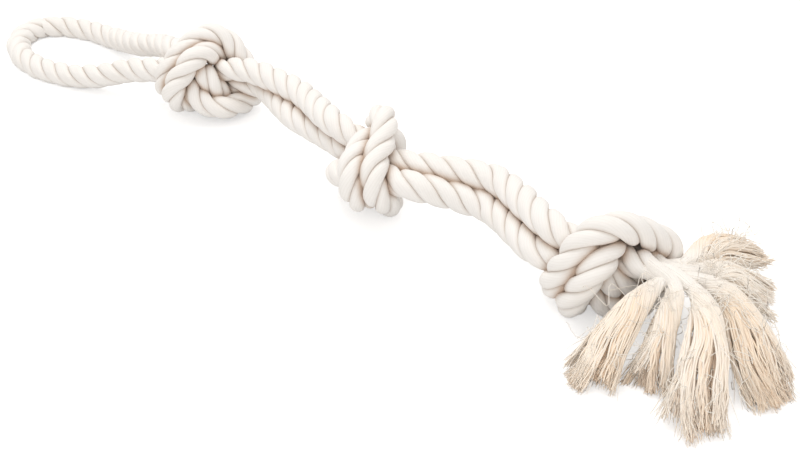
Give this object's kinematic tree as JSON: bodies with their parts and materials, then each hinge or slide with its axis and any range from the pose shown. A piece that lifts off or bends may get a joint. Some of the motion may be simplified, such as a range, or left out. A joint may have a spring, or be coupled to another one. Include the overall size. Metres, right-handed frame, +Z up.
{
  "type": "rope tug toy",
  "caption": "Thick twisted cotton rope doubled into a hand loop, tied in overhand knots along its length and frayed into a tassel, lying on the floor.",
  "frame": {"origin": "middle of the bottom of the toy's box, on the surface it lies on", "axes": "+X along the toy from the hand loop to the tassel, +Z up"},
  "size_m": [0.7428, 0.1736, 0.0718],
  "materials": {
    "cotton_rope": "natural off-white cotton, matt",
    "frayed_yarn": "natural cream cotton yarn, matt and fluffy"
  },
  "bodies": {
    "middle_knot": {"middle_knot_leg_a": "cotton_rope", "middle_knot_leg_b": "cotton_rope", "span_1_leg_a_tassel_side": "cotton_rope", "span_1_leg_b_tassel_side": "cotton_rope", "span_2_leg_a_handle_side": "cotton_rope", "span_2_leg_b_handle_side": "cotton_rope"},
    "handle_knot": {"handle_knot_leg_a": "cotton_rope", "handle_knot_leg_b": "cotton_rope", "span_1_leg_a_handle_side": "cotton_rope", "span_1_leg_b_handle_side": "cotton_rope"},
    "hand_loop": {"handle_loop": "cotton_rope"},
    "tassel_knot": {"tassel_knot_leg_a": "cotton_rope", "tassel_knot_leg_b": "cotton_rope", "span_2_leg_a_tassel_side": "cotton_rope", "span_2_leg_b_tassel_side": "cotton_rope"},
    "tail_a_1_body": {"tail_a_1": "frayed_yarn"},
    "tail_a_2_body": {"tail_a_2": "frayed_yarn"},
    "tail_a_3_body": {"tail_a_3": "frayed_yarn"},
    "tail_b_1_body": {"tail_b_1": "frayed_yarn"},
    "tail_b_2_body": {"tail_b_2": "frayed_yarn"},
    "tail_b_3_body": {"tail_b_3": "frayed_yarn"}
  },
  "joints": [
    {"name": "span_1_flex", "type": "hinge", "parent": "middle_knot", "child": "handle_knot", "pos_m": [-0.02895, 0.03581, 0.036], "axis": [0, 0, 1], "range_deg": [-25, 25]},
    {"name": "handle_swing", "type": "hinge", "parent": "handle_knot", "child": "hand_loop", "pos_m": [-0.15739, 0.03293, 0.03871], "axis": [0, 0, 1], "range_deg": [-25, 25]},
    {"name": "span_2_flex", "type": "hinge", "parent": "middle_knot", "child": "tassel_knot", "pos_m": [0.15555, 0.01601, 0.036], "axis": [0, 0, 1], "range_deg": [-25, 25]},
    {"name": "tail_a_1_lift", "type": "hinge", "parent": "tassel_knot", "child": "tail_a_1_body", "pos_m": [0.30064, -0.00849, 0.0396], "axis": [-0.8856, -0.4644, 0], "range_deg": [0, 35]},
    {"name": "tail_a_2_lift", "type": "hinge", "parent": "tassel_knot", "child": "tail_a_2_body", "pos_m": [0.2936, -0.01494, 0.0396], "axis": [-0.9869, -0.1612, 0], "range_deg": [0, 35]},
    {"name": "tail_a_3_lift", "type": "hinge", "parent": "tassel_knot", "child": "tail_a_3_body", "pos_m": [0.28431, -0.01559, 0.0396], "axis": [-0.9809, 0.1945, 0], "range_deg": [0, 35]},
    {"name": "tail_b_1_lift", "type": "hinge", "parent": "tassel_knot", "child": "tail_b_1_body", "pos_m": [0.28901, 0.01249, 0.0396], "axis": [0.9547, -0.2974, 0], "range_deg": [0, 35]},
    {"name": "tail_b_2_lift", "type": "hinge", "parent": "tassel_knot", "child": "tail_b_2_body", "pos_m": [0.29739, 0.00902, 0.0396], "axis": [0.542, -0.8404, 0], "range_deg": [0, 35]},
    {"name": "tail_b_3_lift", "type": "hinge", "parent": "tassel_knot", "child": "tail_b_3_body", "pos_m": [0.30205, 0.00095, 0.0396], "axis": [-0.4328, -0.9015, 0], "range_deg": [0, 35]}
  ]
}
